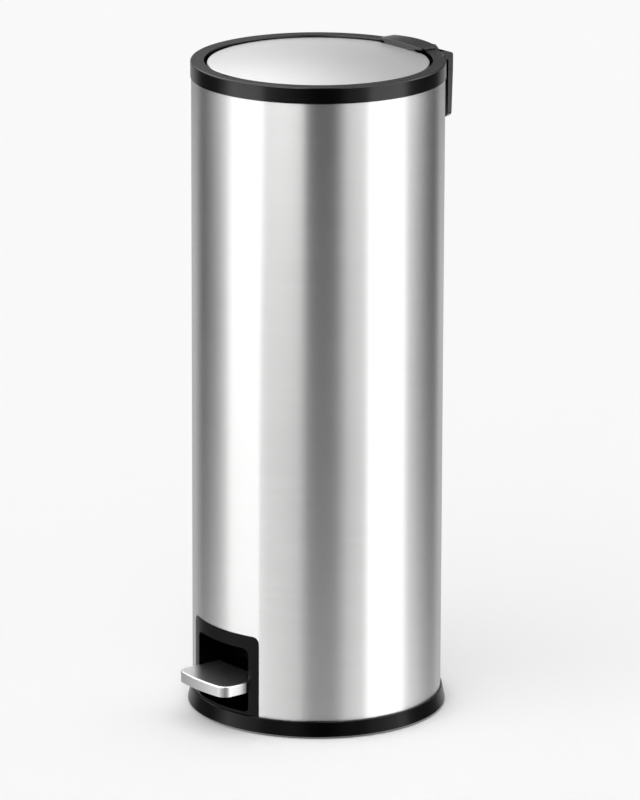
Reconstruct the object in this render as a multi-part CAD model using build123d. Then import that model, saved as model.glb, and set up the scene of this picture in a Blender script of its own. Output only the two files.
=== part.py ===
from build123d import *
import os
from math import atan, cos, degrees, radians, sin, sqrt, tan

# A round pedal bin. Millimetres, Z up, origin on the axis of the can at floor level.
# The pedal is at the front (-Y), the hinge and the grip are at the back (+Y).
# "Drop" always means a distance below the top face of the top ring.

# Overall size
HEIGHT = 660.0
BODY_R = 125.0
SHELL_T = 0.8

# Fits between pieces
SEAT_GAP = 0.1
SLIP_GAP = 0.3
RUN_GAP = 0.06
THREAD_GAP = 0.05

# Base moulding and its rubber foot
BASE_SPREAD = 5.0
BASE_PROUD = 1.6
BASE_H = 17.0
BASE_EDGE_R = 1.0
BASE_LIFT = 1.5
BASE_SEAT_Z = 10.0
DECK_Z = 5.0
DECK_T = 3.0
COLLAR_T = 2.5
COLLAR_H = 16.0
FOOT_INSET = 8.0
FOOT_W = 10.0
FOOT_SINK = 2.7
RIB_T = 2.4
RIB_COUNT = 8
RIB_HUB_R = 16.0
RIB_RING_R = 60.0

# Top ring
RING_PROUD = 0.8
RING_TOP_W = 13.4
RING_H = 16.0
RING_TOP_T = 3.0
RING_WALL = 2.5
RING_EDGE_R = 1.2
RING_LIP_R = 0.6
SKIRT_T = 2.5
SKIRT_BRIDGE = 5.0
LEDGE_W = 9.5
LEDGE_T = 3.0
NOTCH_W = 9.0
NOTCH_DEEP = 4.0
NOTCH_DROP = 2.0
NOTCH_LIP = 1.0

# Lid
LID_GAP = 3.0
LID_SINK = 2.0
LID_RISE = 5.0
LID_SKIN_T = 0.8
LID_HEM = 4.0
LID_EDGE_R = 1.2
LID_CORNER_R = 20.0
LID_OPEN = 80.0
PAN_T = 2.0
PAN_RIM_T = 2.4
PAN_RIM_H = 4.8
PAN_RIB_T = 2.0
PAN_RIB_COUNT = 6
PAN_RIB_IN = 18.0
PAN_RIB_SHORT = 15.6
PAN_RING_R = 60.0

# Hinge cap and hinge
CAP_W = 68.0
CAP_BITE = 6.1
CAP_JOINT = 0.4
CAP_FLOAT = 0.4
CAP_T = 3.0
CAP_END_T = 1.9
CAP_EDGE_R = 0.8
CAP_CORNER_R = 7.0
CAP_PROUD = 2.7
CAP_LIP_DROP = 2.0
CAP_ROOT_W = 48.0
CAP_ROOT_IN = 2.0
TONGUE_W = 46.0
TONGUE_T = 2.4
TONGUE_LEN = 19.0
HINGE_OUT = 5.7
HINGE_DROP = 9.0
HINGE_PIN_R = 2.0
PIN_SINK = 1.0
BUSH_T = 1.2
EYE_R = 4.8
EAR_X = 23.0
EAR_T = 6.0

# Rear bracket and grip
BRACKET_W = 68.0
BRACKET_OUT = 18.5
BRACKET_DROP = 6.0
BRACKET_H = 17.5
BRIDGE_T = 7.0
LEG_T = 6.0
BRACKET_EDGE_R = 3.0
FLANGE_T = 3.0
FLANGE_W = 60.0
FLANGE_DROP = 33.0
SCREW_ANGLE = 8.0
SCREW_DROP = 21.0
BACK_SKIN = 1.5
GRIP_H = 48.5
GRIP_TAPER = 1.6
GRIP_SEAM = 0.3
GRIP_EDGE_R = 4.0
GRIP_CORNER_R = 6.0
GRIP_TONGUE_W = 36.0
GRIP_TONGUE_T = 3.0
GRIP_TONGUE_UP = 6.5
GRIP_SCREW_X = 11.0

# Lift rod and crank
ROD_R = 2.0
ROD_INSET = 6.0
ROD_X = 6.0
ROD_BEND_R = 5.0
ROD_END = 4.6
FOOT_END = 8.0
FOOT_REST = 0.3
CRANK_T = 4.0
CRANK_SLACK = 1.05
CRANK_RIM = 2.2
CRANK_ROOM = 1.5
CRANK_FLANGE_W = 18.0
CRANK_FLANGE_T = 2.2
CRANK_FLANGE_CLEAR = 1.0
CRANK_HEAD_R = 2.4
SLOT_SIDE = 2.5
CLIP_T = 1.1
CLIP_R = 3.6
GUIDE_W = 14.0
GUIDE_H = 12.0
GUIDE_WALL = 3.6
UPPER_GUIDE_DROP = 92.0
LOWER_GUIDE_Z = 136.0

# Pedal opening
FRAME_W = 101.5
FRAME_TOP_Z = 99.0
FRAME_CORNER_R = 7.0
FRAME_T = 2.7
FRAME_PROUD = 0.3
SIDE_BORDER = 11.0
TOP_BORDER = 13.5
OPENING_CORNER_R = 7.0
OPENING_EDGE_R = 0.8
SILL_H = 2.5
SILL_CORNER_R = 5.0
TUNNEL_T = 2.2
TUNNEL_DEEP = 45.0
TUNNEL_SLOT_TOP_Z = 46.0
FRAME_PAD_CLEAR = 2.4
FRAME_PAD_L = 9.0
FRAME_PAD_W = 7.5
FRAME_PAD_H = 6.0

# Pedal
TREAD_GAP = 2.0
TREAD_REACH = 26.0
TREAD_LEN = 56.0
TREAD_TOP_Z = 50.5
TREAD_H = 11.0
TREAD_T = 1.2
TREAD_CORNER_R = 11.0
TREAD_BOW_R = 200.0
TREAD_EDGE_R = 1.5
TREAD_SCREW_IN = 7.0
CORE_GAP = 0.15
CORE_WALL = 6.0
LEVER_W = 30.0
LEVER_T = 3.0
LEVER_BEND_R = 12.0
TONGUE_REACH = 32.0
NECK_BACK = 4.0
KNEE_BACK = 32.0
KNEE_Z = 27.0
TAIL_Z = 17.0
TAIL_PAST = 2.0
TAIL_ROOM = 2.0
PIVOT_Y = -20.0
PIVOT_Z = 31.0
PIVOT_PIN_R = 3.0
PIVOT_EAR_R = 6.5
PIVOT_EAR_L = 44.0
PIVOT_EAR_T = 3.0
BUSH_W = 2.4
SIDE_PLAY = 0.2
POST_T = 5.0
POST_R = 7.0
POST_L = 32.0
PIN_PAST = 2.4
CLIP_RIM = 2.6
BUMPER_BACK = 13.0
BUMPER_R = 6.0
BUMPER_H = 4.0
BUMPER_REST = 0.4

# Inner bucket and its wire bail
BUCKET_RIM_W = 5.4
BUCKET_RIM_T = 2.5
BUCKET_GAP = 0.5
BUCKET_T = 2.0
BUCKET_FLOOR_Z = 106.0
BUCKET_TAPER = 8.0
BUCKET_KICK = 3.0
BUCKET_KICK_IN = 17.0
LUG_W = 12.0
LUG_H = 3.7
BAIL_R = 1.5
BAIL_BEND_R = 2.2
BAIL_END = 2.4

# Lid bumpers
BUMP_R = 1.9
BUMP_REST = 0.3
BUMP_ANGLES = (200.0, 270.0, 340.0)

# Screws: shank radius, head radius, head height
SCREW_R = 1.6
SCREW_HEAD_R = 3.0
SCREW_HEAD_H = 2.2
BRACKET_SCREW_R = 2.0
BRACKET_HEAD_R = 3.6
SCREW_BITE = 4.5

# A cut runs this far past the faces that it opens, and an added piece this far into its carrier
PAST = 5.0
MERGE = 0.5

# Radii that follow from the sizes above
SHELL_IN_R = BODY_R - SHELL_T
BASE_TOP_R = BODY_R + BASE_PROUD
BASE_FOOT_R = BODY_R + BASE_SPREAD
FOOT_IN_R = BODY_R - FOOT_INSET - FOOT_W / 2
FOOT_OUT_R = FOOT_IN_R + FOOT_W
GROOVE_IN_R = FOOT_IN_R - SLIP_GAP
GROOVE_OUT_R = FOOT_OUT_R + SLIP_GAP
PAD_R = GROOVE_IN_R - RIB_T - SCREW_HEAD_R - FRAME_PAD_CLEAR
COLLAR_R = SHELL_IN_R - SLIP_GAP
RING_R = BODY_R + RING_PROUD
BORE_R = RING_R - RING_TOP_W
SKIRT_R = SHELL_IN_R - SLIP_GAP
SKIRT_IN_R = SKIRT_R - SKIRT_T
LEDGE_R = BORE_R - LEDGE_W
LID_R = BORE_R - LID_GAP
CAP_R = RING_R + CAP_PROUD
PAN_RIB_OUT = LID_R - PAN_RIB_SHORT
BUCKET_R = LEDGE_R - BUCKET_GAP
BUCKET_FLOOR_R = BUCKET_R - BUCKET_TAPER
BUCKET_KICK_R = BUCKET_FLOOR_R - BUCKET_KICK_IN

# Heights that follow
SHELL_TOP_Z = HEIGHT - RING_H
LEDGE_Z = HEIGHT - RING_H
HINGE_Z = HEIGHT - HINGE_DROP
BRACKET_TOP_Z = HEIGHT - BRACKET_DROP
BRACKET_LOW_Z = BRACKET_TOP_Z - BRACKET_H
LID_EDGE_Z = HEIGHT - LID_SINK
HEM_Z = LID_EDGE_Z - LID_HEM
PAN_TOP_Z = LID_EDGE_Z - LID_EDGE_R
PAN_LOW_Z = PAN_TOP_Z - PAN_RIM_H
CAP_LOW_Z = HEIGHT + CAP_FLOAT
DECK_TOP_Z = DECK_Z + DECK_T
TREAD_LOW_Z = TREAD_TOP_Z - TREAD_H
OPENING_W = FRAME_W - 2 * SIDE_BORDER
OPENING_TOP_Z = FRAME_TOP_Z - TOP_BORDER
SILL_Z = BASE_H + SILL_H

# Depths that follow
CAP_FRONT_Y = LID_R - CAP_BITE
LID_REAR_Y = CAP_FRONT_Y - CAP_JOINT
HINGE_Y = RING_R + HINGE_OUT
BRACKET_Y = RING_R + BRACKET_OUT
LEG_IN_Y = BRACKET_Y - LEG_T
ROD_Y = SHELL_IN_R - ROD_INSET
TREAD_FRONT_Y = -BODY_R - TREAD_REACH
TREAD_REAR_Y = TREAD_FRONT_Y + TREAD_LEN
TUNNEL_Y = -BODY_R + TUNNEL_DEEP
PAD_X = OPENING_W / 2 + TUNNEL_T + FRAME_PAD_W / 2
PAD_Y = -sqrt(PAD_R**2 - PAD_X**2)
NECK_Y = TREAD_REAR_Y + NECK_BACK
KNEE_Y = NECK_Y + KNEE_BACK
BUMPER_Y = KNEE_Y + BUMPER_BACK

# Motion: the rod's pin stays at one distance in front of the hinge, so its height goes by the
# tangent of the crank's angle, which runs from half the lid's swing below level to half above.
CRANK_ARM = HINGE_Y - ROD_Y
HALF_SWING = radians(LID_OPEN / 2)
ROD_STROKE = 2 * CRANK_ARM * tan(HALF_SWING)
ROD_TOP_Z = HINGE_Z - ROD_STROKE / 2
CRANK_LEN = CRANK_ARM / cos(HALF_SWING)
CRANK_SLOT_HALF = ROD_R + CRANK_SLACK
CRANK_END_R = CRANK_SLOT_HALF + CRANK_RIM
SLOT_W = 2 * (ROD_X + ROD_R + SLOT_SIDE)
SLOT_DROP = HEIGHT - ROD_TOP_Z + CRANK_END_R + CRANK_ROOM
SKIRT_DROP = SLOT_DROP + SKIRT_BRIDGE
LEVER_LEAN = atan((TAIL_Z - KNEE_Z) / (ROD_Y + TAIL_PAST - KNEE_Y))
LEVER_SWING = atan(tan(LEVER_LEAN) + ROD_STROKE / (ROD_Y - PIVOT_Y)) - LEVER_LEAN


def lever_line(y, offset=0.0, swing=0.0):
    """Height of the lever's straight run at y, offset square to its middle plane, turned by swing."""
    middle = KNEE_Z + (PIVOT_Y - KNEE_Y) * tan(LEVER_LEAN)
    below_pivot = (PIVOT_Z - middle) * cos(LEVER_LEAN) - offset
    lean = LEVER_LEAN + swing
    return PIVOT_Z + (y - PIVOT_Y) * tan(lean) - below_pivot / cos(lean)


ROD_FOOT_Z = lever_line(ROD_Y, LEVER_T / 2) + FOOT_REST + ROD_R
BUMPER_TOP_Z = lever_line(BUMPER_Y - BUMPER_R, -LEVER_T / 2, LEVER_SWING) - BUMPER_REST


def polygon(*points):
    return make_face(Polyline(*points, close=True))


def turned(*points, rounded=()):
    """Solid turned about Z from (radius, height) points. Each (point, radius) in rounded eases a corner."""
    section = polygon(*points)
    for corner, radius in rounded:
        section = fillet(section.vertices().sort_by_distance(corner)[0], radius)
    return revolve(Plane.XZ * section, Axis.Z)


def drum(radius, low, high):
    """Upright cylinder on the can's axis."""
    return Pos(0, 0, (low + high) / 2) * Cylinder(radius, high - low)


def pipe(outer, inner, low, high):
    """Upright tube on the can's axis."""
    return drum(outer, low, high) - drum(inner, low - PAST, high + PAST)


def block(x_low, x_high, y_low, y_high, z_low, z_high):
    """Box between six planes."""
    middle = Pos((x_low + x_high) / 2, (y_low + y_high) / 2, (z_low + z_high) / 2)
    return middle * Box(x_high - x_low, y_high - y_low, z_high - z_low)


def rod_x(radius, y, z, x_low, x_high):
    """Cylinder along X."""
    return Pos((x_low + x_high) / 2, y, z) * Rot(0, 90, 0) * Cylinder(radius, x_high - x_low)


def side_plate(outline, x_low, x_high):
    """Outline drawn in (Y, Z), made solid between two X planes."""
    return extrude(Plane.YZ.offset(x_low) * outline, x_high - x_low)


def front_plate(outline, near, far):
    """Outline drawn in (X, Z), made solid from y = -near to y = -far."""
    return extrude(Plane.XZ.offset(near) * outline, far - near)


def hull(*shapes):
    """Convex outline round several flat shapes."""
    return make_hull([edge for shape in shapes for edge in shape.edges()])


def arch(width, low, high, corner):
    """Upright outline, square below, with its two upper corners rounded."""
    half = width / 2
    outline = polygon((-half, low), (half, low), (half, high), (-half, high))
    return fillet(outline.vertices().group_by(Axis.Y)[-1], corner)


def screw(shank_r, head_r, head_h, length):
    """Screw along Z that seats at z = 0, with a rounded head below and the shank above."""
    head = Pos(0, 0, -head_h / 2) * Cylinder(head_r, head_h)
    head = fillet(head.edges().group_by(Axis.Z)[0], head_h / 2)
    return head + Pos(0, 0, length / 2) * Cylinder(shank_r, length)


def mirrored(shape):
    """The shape and its mirror image across the YZ plane."""
    return [shape, mirror(shape, Plane.YZ)]


def wire(path, radius):
    """Round wire along a path."""
    return sweep(Plane(path @ 0, z_dir=path % 0) * Circle(radius), path)


# Can


def frame_opening(gap=0.0):
    """Outline of the pedal opening, grown by gap, down past the top of the base."""
    return arch(OPENING_W + 2 * gap, BASE_H - PAST, OPENING_TOP_Z + gap, OPENING_CORNER_R + gap)


def bezel_opening():
    """Outline of the opening in the frame's face: a sill with rounded corners closes it below."""
    outline = arch(OPENING_W, SILL_Z, OPENING_TOP_Z, OPENING_CORNER_R)
    return fillet(outline.vertices().group_by(Axis.Y)[0], SILL_CORNER_R)


def bracket_screw_places():
    """Frames on the skirt's inner face, with Z pointing outwards through skirt, shell and flange."""
    seat = SKIRT_IN_R - SEAT_GAP
    spot = Pos(0, seat, HEIGHT - SCREW_DROP) * Rot(-90, 0, 0)
    return [Rot(0, 0, side * SCREW_ANGLE) * spot for side in (-1, 1)]


def bracket_screw_holes():
    reach = RING_R + FLANGE_T + 2 * PAST - SKIRT_IN_R
    hole = Pos(0, 0, reach / 2 - PAST) * Cylinder(BRACKET_SCREW_R + THREAD_GAP, reach)
    return [place * hole for place in bracket_screw_places()]


def crank_slot():
    """Way for the crank and the rod through the ring's rear, open at the top."""
    half = SLOT_W / 2
    return block(-half, half, LEDGE_R - PAST, BRACKET_Y, HEIGHT - SLOT_DROP, HEIGHT + PAST)


def outer_shell():
    tube = pipe(BODY_R, SHELL_IN_R, BASE_SEAT_Z, SHELL_TOP_Z)
    window = arch(FRAME_W + 2 * SLIP_GAP, BASE_SEAT_Z - PAST, FRAME_TOP_Z + SLIP_GAP, FRAME_CORNER_R)
    tube -= front_plate(window, BODY_R / 2, BODY_R + PAST)
    return tube - crank_slot() - bracket_screw_holes()


def top_ring():
    skirt_low = HEIGHT - SKIRT_DROP
    ring = turned(
        (BORE_R, HEIGHT),
        (RING_R, HEIGHT),
        (RING_R, SHELL_TOP_Z),
        (SKIRT_R, SHELL_TOP_Z),
        (SKIRT_R, skirt_low),
        (SKIRT_IN_R, skirt_low),
        (SKIRT_IN_R, HEIGHT - RING_TOP_T),
        (BORE_R + RING_WALL, HEIGHT - RING_TOP_T),
        (BORE_R + RING_WALL, LEDGE_Z - LEDGE_T),
        (LEDGE_R, LEDGE_Z - LEDGE_T),
        (LEDGE_R, LEDGE_Z),
        (BORE_R, LEDGE_Z),
        rounded=[((BORE_R, HEIGHT), RING_LIP_R), ((RING_R, HEIGHT), RING_EDGE_R)],
    )
    half = NOTCH_W / 2
    front = -BORE_R - NOTCH_DEEP
    notch = block(-half, half, front, -BORE_R - NOTCH_LIP, HEIGHT - NOTCH_DROP, HEIGHT + PAST)
    return ring - crank_slot() - notch - bracket_screw_holes()


def knuckle_slots():
    """Slots in the bracket in which the cap's ears and the crank turn."""
    low = HINGE_Z - EYE_R - SLIP_GAP
    high = HEIGHT + PAST
    rear = BRACKET_Y - BACK_SKIN
    half_ear = EAR_T / 2 + SLIP_GAP
    half_crank = CRANK_T / 2 + SLIP_GAP
    slots = [block(-half_crank, half_crank, LEDGE_R, rear, HEIGHT - SLOT_DROP, high)]
    for x in (-EAR_X, EAR_X):
        slots.append(block(x - half_ear, x + half_ear, LEDGE_R, rear, low, high))
    return slots


def rear_bracket():
    hook = polygon(
        (BORE_R, BRACKET_TOP_Z - BRIDGE_T),
        (LEG_IN_Y, BRACKET_TOP_Z - BRIDGE_T),
        (LEG_IN_Y, BRACKET_LOW_Z),
        (BRACKET_Y, BRACKET_LOW_Z),
        (BRACKET_Y, BRACKET_TOP_Z),
        (BORE_R, BRACKET_TOP_Z),
    )
    hook = fillet(hook.vertices().group_by(Axis.X)[-1].sort_by(Axis.Y)[-1], BRACKET_EDGE_R)
    solid = side_plate(hook, -BRACKET_W / 2, BRACKET_W / 2)
    wall_r = RING_R + SEAT_GAP
    half = FLANGE_W / 2
    flange = drum(wall_r + FLANGE_T, HEIGHT - FLANGE_DROP, BRACKET_TOP_Z)
    flange &= block(-half, half, BORE_R - PAST, BRACKET_Y, 0, HEIGHT)
    solid = solid + flange - drum(wall_r, 0, HEIGHT)
    solid -= rod_x(HINGE_PIN_R + THREAD_GAP, HINGE_Y, HINGE_Z, -BRACKET_W, BRACKET_W)
    return solid - knuckle_slots() - bracket_screw_holes() - grip_screw_holes()


def bracket_screws():
    length = RING_R + FLANGE_T - SKIRT_IN_R - SEAT_GAP
    one = screw(BRACKET_SCREW_R, BRACKET_HEAD_R, SCREW_HEAD_H, length)
    return [place * one for place in bracket_screw_places()]


def grip_screw_places():
    """Frames on the front of the grip's tongue, with Z pointing back into the bracket's leg."""
    z = BRACKET_LOW_Z + GRIP_TONGUE_UP / 2
    y = LEG_IN_Y - SEAT_GAP - GRIP_TONGUE_T
    return [Pos(x, y, z) * Rot(-90, 0, 0) for x in (-GRIP_SCREW_X, GRIP_SCREW_X)]


def grip_screw_holes():
    hole = Cylinder(SCREW_R + THREAD_GAP, 2 * (GRIP_TONGUE_T + SCREW_BITE))
    return [place * hole for place in grip_screw_places()]


def rear_handle():
    high = BRACKET_LOW_Z - GRIP_SEAM
    low = high - GRIP_H
    front = LEG_IN_Y - SEAT_GAP
    outline = polygon((front, high), (BRACKET_Y, high), (BRACKET_Y - GRIP_TAPER, low), (front, low))
    outline = fillet(outline.vertices().group_by(Axis.Y)[0].sort_by(Axis.X)[-1], GRIP_EDGE_R)
    plate = side_plate(outline, -BRACKET_W / 2, BRACKET_W / 2)
    shield = arch(BRACKET_W, -high - PAST, -low, GRIP_CORNER_R)
    plate &= front_plate(mirror(shield, Plane.XZ), -BRACKET_Y - PAST, -BORE_R)
    tongue_top = BRACKET_LOW_Z + GRIP_TONGUE_UP
    tongue = polygon(
        (front - GRIP_TONGUE_T, tongue_top),
        (front, tongue_top),
        (front, high),
        (front + MERGE, high),
        (front + MERGE, high - 3 * GRIP_TONGUE_T),
        (front - GRIP_TONGUE_T, high - 2 * GRIP_TONGUE_T),
    )
    plate += side_plate(tongue, -GRIP_TONGUE_W / 2, GRIP_TONGUE_W / 2)
    return plate - grip_screw_holes()


def handle_screws():
    one = screw(SCREW_R, SCREW_HEAD_R, SCREW_HEAD_H, GRIP_TONGUE_T + SCREW_BITE)
    return [place * one for place in grip_screw_places()]


def hinge_pin():
    half = BRACKET_W / 2 - PIN_SINK
    return rod_x(HINGE_PIN_R, HINGE_Y, HINGE_Z, -half, half)


def frame_screw_places():
    """Frames on the deck's underside, with Z pointing up into the frame's pads."""
    return [Pos(side * PAD_X, PAD_Y, DECK_Z) for side in (-1, 1)]


def frame_screw_holes():
    reach = BASE_H - DECK_Z + SCREW_BITE + SEAT_GAP
    hole = Cylinder(SCREW_R + THREAD_GAP, 2 * reach)
    return [place * hole for place in frame_screw_places()]


def frame_screws():
    one = screw(SCREW_R, SCREW_HEAD_R, SCREW_HEAD_H, BASE_H - DECK_Z + SCREW_BITE)
    return [place * one for place in frame_screw_places()]


def pivot_post():
    """One upright that holds the pedal's pin, beside the lever."""
    inner = LEVER_W / 2 + BUSH_W + SIDE_PLAY
    foot = Pos(PIVOT_Y, DECK_TOP_Z) * Rectangle(POST_L, DECK_T)
    outline = hull(Pos(PIVOT_Y, PIVOT_Z) * Circle(POST_R), foot)
    return side_plate(outline, inner, inner + POST_T)


def base():
    groove_z = BASE_LIFT + FOOT_SINK
    moulding = turned(
        (0, DECK_Z),
        (GROOVE_IN_R - RIB_T, DECK_Z),
        (GROOVE_IN_R - RIB_T, BASE_LIFT),
        (GROOVE_IN_R, BASE_LIFT),
        (GROOVE_IN_R, groove_z),
        (GROOVE_OUT_R, groove_z),
        (GROOVE_OUT_R, BASE_LIFT),
        (BASE_FOOT_R, BASE_LIFT),
        (BASE_TOP_R, BASE_H),
        (BODY_R + SLIP_GAP, BASE_H),
        (BODY_R + SLIP_GAP, BASE_SEAT_Z),
        (COLLAR_R, BASE_SEAT_Z),
        (COLLAR_R, DECK_TOP_Z + COLLAR_H),
        (COLLAR_R - COLLAR_T, DECK_TOP_Z + COLLAR_H),
        (COLLAR_R - COLLAR_T, DECK_TOP_Z),
        (0, DECK_TOP_Z),
        rounded=[((BASE_TOP_R, BASE_H), BASE_EDGE_R), ((BASE_FOOT_R, BASE_LIFT), BASE_EDGE_R)],
    )
    rib = block(RIB_HUB_R, GROOVE_IN_R - RIB_T / 2, -RIB_T / 2, RIB_T / 2, BASE_LIFT, DECK_Z + MERGE)
    moulding += [Rot(0, 0, turn * 360 / RIB_COUNT) * rib for turn in range(RIB_COUNT)]
    moulding += pipe(RIB_RING_R + RIB_T / 2, RIB_RING_R - RIB_T / 2, BASE_LIFT, DECK_Z + MERGE)
    moulding += pipe(RIB_HUB_R + RIB_T, RIB_HUB_R, BASE_LIFT, DECK_Z + MERGE)
    half = FRAME_W / 2
    ledge_rear = PAD_Y + FRAME_PAD_L / 2 + RIB_T
    window = half + SLIP_GAP
    moulding -= block(-window, window, -BODY_R - SLIP_GAP, ledge_rear, BASE_H, FRAME_TOP_Z)
    ledge = drum(BASE_TOP_R - BASE_EDGE_R, DECK_Z + MERGE, BASE_H)
    moulding += ledge & block(-half, half, -BASE_FOOT_R, ledge_rear, 0, BASE_H)
    pocket = OPENING_W / 2 - RIB_T
    moulding -= block(-pocket, pocket, -GROOVE_IN_R + 2 * RIB_T, ledge_rear - RIB_T, 0, BASE_H - DECK_T)
    moulding += mirrored(pivot_post())
    tail = LEVER_W / 2 + TAIL_ROOM
    moulding -= block(-tail, tail, BODY_R / 2, COLLAR_R, TAIL_Z - LEVER_T - TAIL_ROOM, FRAME_TOP_Z)
    stand = drum(BUMPER_R + RIB_T / 2, DECK_TOP_Z - MERGE, BUMPER_TOP_Z - BUMPER_H)
    moulding += Pos(0, BUMPER_Y, 0) * stand
    moulding -= rod_x(PIVOT_PIN_R + THREAD_GAP, PIVOT_Y, PIVOT_Z, -BODY_R / 2, BODY_R / 2)
    return moulding - frame_screw_holes()


def foot_ring():
    ring = pipe(FOOT_OUT_R, FOOT_IN_R, 0, BASE_LIFT + FOOT_SINK)
    return chamfer(ring.edges().group_by(Axis.Z)[0], BASE_LIFT / 2)


def pedal_frame():
    outline = arch(FRAME_W, BASE_H, FRAME_TOP_Z, FRAME_CORNER_R)
    bezel_r = BODY_R + FRAME_PROUD
    bezel = pipe(bezel_r, bezel_r - FRAME_T - FRAME_PROUD, BASE_H, FRAME_TOP_Z)
    bezel &= front_plate(outline, BODY_R / 2, BODY_R + PAST)
    bezel -= front_plate(bezel_opening(), 0, BODY_R + PAST)
    face = bezel.faces().filter_by(GeomType.CYLINDER).sort_by(SortBy.AREA)[-1]
    bezel = fillet(face.inner_wires()[0].edges(), OPENING_EDGE_R)
    throat = frame_opening(TUNNEL_T)
    tunnel = front_plate(throat, -TUNNEL_Y, BODY_R)
    tunnel &= drum(bezel_r - FRAME_T / 2, BASE_H, FRAME_TOP_Z)
    tunnel -= front_plate(frame_opening(), -TUNNEL_Y + TUNNEL_T, BODY_R + PAST)
    pad_in = PAD_X - FRAME_PAD_W / 2 - MERGE
    pad_out = PAD_X + FRAME_PAD_W / 2
    pad_y = PAD_Y - FRAME_PAD_L / 2
    pad = block(pad_in, pad_out, pad_y, pad_y + FRAME_PAD_L, BASE_H, BASE_H + FRAME_PAD_H)
    frame = bezel + tunnel + mirrored(pad)
    half = LEVER_W / 2 + TREAD_GAP
    frame -= block(-half, half, TUNNEL_Y - 2 * TUNNEL_T, TUNNEL_Y + PAST, BASE_H - PAST, TUNNEL_SLOT_TOP_Z)
    return frame - frame_screw_holes()


def inner_bucket():
    rim_z = LEDGE_Z + BUCKET_RIM_T
    inner = BUCKET_R - BUCKET_T
    rise = BUCKET_FLOOR_Z + BUCKET_KICK
    bucket = turned(
        (0, rise),
        (BUCKET_KICK_R - BUCKET_KICK, rise),
        (BUCKET_KICK_R, BUCKET_FLOOR_Z),
        (BUCKET_FLOOR_R, BUCKET_FLOOR_Z),
        (BUCKET_R, LEDGE_Z),
        (BUCKET_R + BUCKET_RIM_W, LEDGE_Z),
        (BUCKET_R + BUCKET_RIM_W, rim_z),
        (inner, rim_z),
        (BUCKET_FLOOR_R - BUCKET_T, rise),
        (BUCKET_FLOOR_R - BUCKET_T, rise + BUCKET_T - BUCKET_KICK / 2),
        (0, rise + BUCKET_T),
    )
    lugs = pipe(BUCKET_R, inner, LEDGE_Z, rim_z + LUG_H)
    bucket += lugs & block(-BODY_R, BODY_R, -LUG_W / 2, LUG_W / 2, LEDGE_Z, HEIGHT)
    return bucket - rod_x(BAIL_R + SEAT_GAP, 0, rim_z + BAIL_R, -BODY_R, BODY_R)


def bucket_bail():
    """Wire that lies round the front of the bucket's rim, with its ends through the two lugs."""
    z = LEDGE_Z + BUCKET_RIM_T + BAIL_R
    hoop_r = BUCKET_R + BUCKET_RIM_W / 2
    bend_x = sqrt((hoop_r - BAIL_BEND_R) ** 2 - BAIL_BEND_R**2)
    reach = hoop_r / (hoop_r - BAIL_BEND_R)
    tip = (BUCKET_R - BUCKET_T - BAIL_END, 0, z)
    near = (bend_x, 0, z)
    far = (bend_x * reach, -BAIL_BEND_R * reach, z)
    hoop = ThreePointArc(far, (0, -hoop_r, z), (-far[0], far[1], z))
    bend = TangentArc(near, far, tangent=(1, 0, 0))
    bend_back = TangentArc((-near[0], 0, z), (-far[0], far[1], z), tangent=(-1, 0, 0))
    line = Line(tip, near)
    line_back = Line((-tip[0], 0, z), (-near[0], 0, z))
    return wire(Wire([line, bend, hoop, bend_back, line_back]), BAIL_R)


def pivot_pin():
    half = LEVER_W / 2 + BUSH_W + SIDE_PLAY + POST_T + PIN_PAST
    return rod_x(PIVOT_PIN_R, PIVOT_Y, PIVOT_Z, -half, half)


def pin_clips():
    near = LEVER_W / 2 + BUSH_W + SIDE_PLAY + POST_T + SEAT_GAP
    clip = rod_x(PIVOT_PIN_R + CLIP_RIM, PIVOT_Y, PIVOT_Z, near, near + CLIP_T)
    clip -= rod_x(PIVOT_PIN_R, PIVOT_Y, PIVOT_Z, near - PAST, near + PAST)
    mouth = PIVOT_PIN_R - CLIP_T
    clip -= block(near - PAST, near + PAST, PIVOT_Y - mouth, PIVOT_Y + mouth, 0, PIVOT_Z)
    return mirrored(clip)


def pedal_bumper():
    puck = drum(BUMPER_R, BUMPER_TOP_Z - BUMPER_H, BUMPER_TOP_Z)
    return Pos(0, BUMPER_Y, 0) * fillet(puck.edges().group_by(Axis.Z)[-1], BUMPER_H / 4)


def rod_guide(low):
    """Block on the shell's inner wall, with the rod's running hole."""
    solid = block(
        ROD_X - GUIDE_W / 2,
        ROD_X + GUIDE_W / 2,
        ROD_Y - GUIDE_WALL,
        BODY_R,
        low,
        low + GUIDE_H,
    )
    solid = fillet(solid.edges().filter_by(Axis.Z).group_by(Axis.Y)[0], GUIDE_WALL / 2)
    solid &= drum(SHELL_IN_R, low, low + GUIDE_H)
    return solid - Pos(ROD_X, ROD_Y, low) * Cylinder(ROD_R + RUN_GAP, 3 * GUIDE_H)


def lid_bumpers():
    low = LEDGE_Z
    high = PAN_LOW_Z - BUMP_REST
    bump = fillet(drum(BUMP_R, low, high).edges().group_by(Axis.Z)[-1], BUMP_R / 3)
    mid_r = (BUCKET_R + BUCKET_RIM_W + BORE_R) / 2
    return [Rot(0, 0, angle) * Pos(mid_r, 0, 0) * bump for angle in BUMP_ANGLES]


# Lid


def lid_plan():
    """Plan of the lid: a circle with a straight edge at the hinge, its two corners rounded."""
    span = LID_R + LID_REAR_Y
    outline = Circle(LID_R) & Pos(0, LID_REAR_Y - span / 2) * Rectangle(2 * LID_R, span)
    outline = fillet(outline.vertices().group_by(Axis.Y)[-1], LID_CORNER_R)
    return extrude(Pos(0, 0, HEIGHT - RING_H) * outline, 2 * RING_H)


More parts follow.
